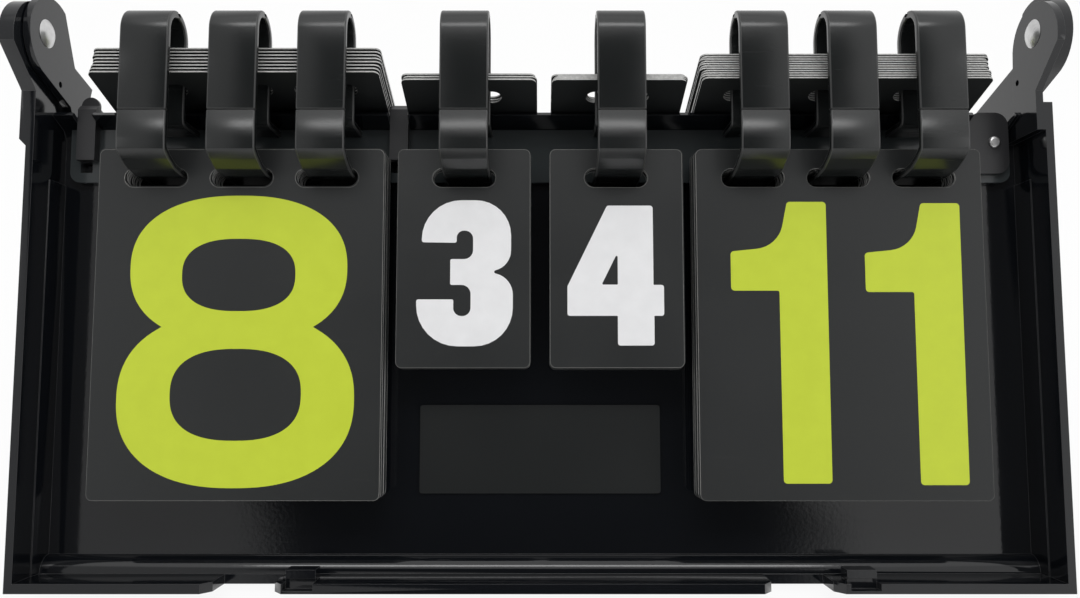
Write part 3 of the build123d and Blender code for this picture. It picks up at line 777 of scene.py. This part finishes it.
def four():
    """Outlines of the 4: stem, bar and sloping stroke, with a three-cornered counter."""
    corners = (
        (-3.4, 21.1, 1.1), (13.4, 21.1, 1.1), (13.4, 50.4, 0.3), (17.2, 50.4, 0.9), (17.2, 61.7, 0.9),
        (13.6, 61.7, 0.3), (13.6, 72.5, 0.9), (0.3, 72.5, 0.9), (0.3, 61.7, 0.3), (-18.0, 61.7, 0.9),
        (-18.0, 50.9, 0.9),
    )
    hole = ((0.4, 38.4, 0.4), (0.4, 50.3, 0.4), (-5.5, 50.3, 0.4))
    return [rounded_path(corners, 6, True), rounded_path(hole, 4, True)]


NUMBERS = {
    "points_left": eight,
    "sets_left": three,
    "sets_right": four,
    "points_right": lambda: [one(-40.3, 19.7), one(8.8, 20.2)],
}


def print_number(name, outlines, node, up, outward, material, ink):
    """Closed film of ink on the outermost card of a node, its outlines in mm from the card's top middle."""
    points = node_points(node)
    right = np.cross(up, outward)
    sideways = points @ right
    middle = (sideways.max() + sideways.min()) / 2
    origin = right * middle + up * (points @ up).max() + outward * (points @ outward).max()
    curve = bpy.data.curves.new(name, "CURVE")
    curve.dimensions = "2D"
    curve.fill_mode = "BOTH"
    curve.extrude = ink / 2
    for outline in outlines:
        spline = curve.splines.new("POLY")
        spline.points.add(len(outline) - 1)
        none = np.zeros(len(outline))
        flat = np.stack([outline[:, 0] * MM, -outline[:, 1] * MM, none, none + 1], 1)
        spline.points.foreach_set("co", flat.ravel())
        spline.use_cyclic_u = True
    holder = bpy.data.objects.new(name + "_curve", curve)
    bpy.context.scene.collection.objects.link(holder)
    bpy.context.view_layer.update()
    mesh = bpy.data.meshes.new_from_object(holder.evaluated_get(bpy.context.evaluated_depsgraph_get()))
    bpy.data.objects.remove(holder)
    bpy.data.curves.remove(curve)
    local = np.empty(len(mesh.vertices) * 3)
    mesh.vertices.foreach_get("co", local)
    local = local.reshape(-1, 3)
    placed = origin + local[:, :1] * right + local[:, 1:2] * up + (local[:, 2:] + ink * 0.55) * outward
    mesh.vertices.foreach_set("co", placed.ravel())
    mesh.name = name
    piece = bpy.data.objects.new(name, mesh)
    bpy.context.scene.collection.objects.link(piece)
    mesh.materials.clear()
    mesh.materials.append(material)
    face_outwards(piece)
    mesh.shade_flat()
    return piece


class BOARD_OT_numbers(bpy.types.Operator):
    """Printed numbers on the top cards and on the cards that show behind"""

    bl_idname = "board.numbers"
    bl_label = "Numbers"

    def execute(self, context):
        finish, sizes = context.scene.board_finish, context.scene.board_sizes
        inks = {
            "points": ink_material("Points ink", tuple(finish.points)),
            "sets": ink_material("Sets ink", tuple(finish.sets)),
        }
        for name in STATIONS:
            ink = inks[name.split("_")[0]]
            outlines = NUMBERS[name]()
            for side, node, body, flipped in (
                ("front", "card_top_" + name, "top_card_" + name, False),
                ("back", "deck_flipped_" + name, "flipped_" + name, True),
            ):
                up, outward = deck_axes(name, flipped)
                piece = print_number(f"number_{side}_{name}", outlines, node, up, outward, ink, sizes.ink)
                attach(piece, body)
        return {"FINISHED"}


# ------------------------------------------------------------------ small fittings
class BOARD_OT_fittings(bpy.types.Operator):
    """Rail, clips, end plate, label plate and rivets"""

    bl_idname = "board.fittings"
    bl_label = "Fittings"

    def execute(self, context):
        finish = context.scene.board_finish
        rail = plastic("Rail plastic", finish.rail, 0.16, 0.10, 0.04, 0.05)
        # Clips and end plate use the same lighter grey as the painted case-edge highlight.
        clip = plastic("Clip plastic", finish.edge_highlight_and_clips, 0.30, 0.12, 0.06, 0.06)
        label = plastic("Label film", finish.ring, 0.34, 0.08, 0.02, 0.02)
        metal = rivet_material(finish)
        for node, material in (
            ("ring_rail", rail),
            ("rail_clips", clip),
            ("rail_end_plate", clip),
            ("label_plate", label),
            ("rail_rivet", metal),
            ("hinge_rivets", metal),
        ):
            dress(node, material)
        return {"FINISHED"}


# ------------------------------------------------------------------ stage, lights, camera
CAMERA_PITCH = math.radians(32.0)
CAMERA_BACK = 0.3338
CAMERA_ABOVE_HINGE = 0.0931
CAMERA_LENS = 30.0
CAMERA_SENSOR = 36.0
FLOOR_REACH = 4.0
FLOOR_TILES = 8
FLOOR_DROP = 0.0002
FLOOR_WHITENESS = 0.92
VIEWER_SIDE = 0.04    # level of the room toward the viewer, where 1 is white

# Lamps: place, turn in degrees, width, depth and watts
LAMPS = {
    "tube_top": ((0.0, -0.35, 1.3), (0, 0, 0), 1.0, 0.24, 3.9),
    "soft_box_left": ((-1.4, -0.9, 0.9), (0, -62, 30), 0.7, 0.7, 1.5),
    "soft_box_right": ((1.4, -0.9, 0.9), (0, 62, -30), 0.7, 0.7, 1.5),
}


class BOARD_OT_stage(bpy.types.Operator):
    """Pale floor, soft studio light and the camera"""

    bl_idname = "board.stage"
    bl_label = "Stage"

    def execute(self, context):
        self.floor()
        self.world(context.scene)
        self.lamps()
        self.camera(context.scene)
        context.scene.view_settings.view_transform = "Standard"
        return {"FINISHED"}

    @staticmethod
    def floor():
        """Wide pale sheet that looks white, apart from the shadow of the object."""
        side = np.linspace(-FLOOR_REACH, FLOOR_REACH, FLOOR_TILES + 1)
        x, y = np.meshgrid(side, side, indexing="ij")
        points = np.stack([x, y, np.full_like(x, -FLOOR_DROP)], axis=-1).reshape(-1, 3)
        row, column = np.meshgrid(np.arange(FLOOR_TILES), np.arange(FLOOR_TILES), indexing="ij")
        across = FLOOR_TILES + 1
        first = (row * across + column).ravel()
        faces = np.stack([first, first + across, first + across + 1, first + 1], axis=1)
        material = bpy.data.materials.new("Pale floor")
        material.use_nodes = True
        tree = material.node_tree
        shader = tree.nodes["Principled BSDF"]
        shader.inputs["Base Color"].default_value = (0.86, 0.86, 0.86, 1)
        shader.inputs["Roughness"].default_value = 0.9
        shader.inputs["Specular IOR Level"].default_value = 0.0
        rays = tree.nodes.new("ShaderNodeLightPath").outputs
        seen = math_node(tree, "MAXIMUM", rays["Is Camera Ray"], rays["Is Glossy Ray"])
        seen = math_node(tree, "MAXIMUM", seen, rays["Is Transmission Ray"])
        white = tree.nodes.new("ShaderNodeEmission")
        blend = tree.nodes.new("ShaderNodeMixShader")
        tree.links.new(math_node(tree, "MULTIPLY", seen, FLOOR_WHITENESS), blend.inputs[0])
        tree.links.new(shader.outputs[0], blend.inputs[1])
        tree.links.new(white.outputs[0], blend.inputs[2])
        tree.links.new(blend.outputs[0], tree.nodes["Material Output"].inputs["Surface"])
        new_piece("floor", points, faces, material)

    @staticmethod
    def ramp(tree, value, start, end, level):
        """Smooth step between start and end, from the level of the viewer's side to this level."""
        step = tree.nodes.new("ShaderNodeMapRange")
        step.interpolation_type = "SMOOTHSTEP"
        step.inputs["From Min"].default_value = start
        step.inputs["From Max"].default_value = end
        step.inputs["To Min"].default_value = VIEWER_SIDE
        step.inputs["To Max"].default_value = level
        tree.links.new(value, step.inputs["Value"])
        return step.outputs[0]

    def world(self, scene):
        """White behind the object; for its lighting a pale room, dark only where the viewer stands."""
        world = bpy.data.worlds.new("Studio")
        scene.world = world
        world.use_nodes = True
        tree = world.node_tree
        background = tree.nodes["Background"]
        split = tree.nodes.new("ShaderNodeSeparateXYZ")
        direction = tree.nodes.new("ShaderNodeTexCoord").outputs["Generated"]
        tree.links.new(direction, split.inputs[0])
        uneven = math_node(tree, "MULTIPLY_ADD", noise_node(tree, direction, 7.0, 3.0), 0.16, -0.08)
        across = math_node(tree, "ADD", split.outputs["X"], uneven)
        right = self.ramp(tree, across, 0.26, 0.32, 1.0)
        left = self.ramp(tree, across, -0.24, -0.31, 0.65)
        above = self.ramp(tree, split.outputs["Z"], 0.83, 0.90, 1.3)
        behind = self.ramp(tree, split.outputs["Y"], -0.25, 0.3, 0.85)
        level = math_node(tree, "MAXIMUM", math_node(tree, "MAXIMUM", right, left), above)
        level = math_node(tree, "MAXIMUM", level, behind)
        seen = tree.nodes.new("ShaderNodeLightPath").outputs["Is Camera Ray"]
        choice = tree.nodes.new("ShaderNodeMix")
        choice.inputs[3].default_value = 1.0
        tree.links.new(seen, choice.inputs[0])
        tree.links.new(level, choice.inputs[2])
        tree.links.new(choice.outputs[0], background.inputs["Strength"])
        background.inputs["Color"].default_value = (1, 1, 1, 1)

    @staticmethod
    def lamps():
        """A long tube light above, and a soft box on the left and on the right."""
        for name, (place, turn, width, depth, watts) in LAMPS.items():
            lamp = bpy.data.lights.new(name, "AREA")
            lamp.shape = "RECTANGLE"
            lamp.size = width
            lamp.size_y = depth
            lamp.energy = watts
            holder = bpy.data.objects.new(name, lamp)
            holder.location = place
            holder.rotation_euler = [math.radians(angle) for angle in turn]
            bpy.context.scene.collection.objects.link(holder)

    @staticmethod
    def camera(scene):
        """Camera in front of and above the board, looking down at it."""
        camera = bpy.data.cameras.new("camera")
        camera.lens = CAMERA_LENS
        camera.sensor_width = CAMERA_SENSOR
        camera.clip_start = 0.01
        holder = bpy.data.objects.new("camera", camera)
        holder.location = (0.0, HINGE[1] - CAMERA_BACK, HINGE[2] + CAMERA_ABOVE_HINGE)
        holder.rotation_euler = (math.pi / 2 - CAMERA_PITCH, 0.0, 0.0)
        scene.collection.objects.link(holder)
        scene.camera = holder


# ------------------------------------------------------------------ panel and registration
OPERATORS = (
    BOARD_OT_case,
    BOARD_OT_rings,
    BOARD_OT_cards,
    BOARD_OT_numbers,
    BOARD_OT_fittings,
    BOARD_OT_stage,
)


class BOARD_PT_panel(bpy.types.Panel):
    """Lists the scoreboard's settings and pieces"""

    bl_idname = "BOARD_PT_panel"
    bl_label = "Scoreboard"
    bl_space_type = "VIEW_3D"
    bl_region_type = "UI"
    bl_category = "Scoreboard"

    def draw(self, context):
        for group in (context.scene.board_finish, context.scene.board_sizes):
            for setting in group.__annotations__:
                self.layout.prop(group, setting)
        for operator in OPERATORS:
            self.layout.operator(operator.bl_idname)


CLASSES = (BoardFinish, BoardSizes, *OPERATORS, BOARD_PT_panel)


def register():
    for item in CLASSES:
        bpy.utils.register_class(item)
    bpy.types.Scene.board_finish = bpy.props.PointerProperty(type=BoardFinish)
    bpy.types.Scene.board_sizes = bpy.props.PointerProperty(type=BoardSizes)


def unregister():
    del bpy.types.Scene.board_sizes
    del bpy.types.Scene.board_finish
    for item in reversed(CLASSES):
        bpy.utils.unregister_class(item)


def main():
    register()
    bpy.ops.board.case()
    bpy.ops.board.rings()
    bpy.ops.board.cards()
    bpy.ops.board.numbers()
    bpy.ops.board.fittings()
    bpy.ops.board.stage()


if __name__ == "__main__":
    main()
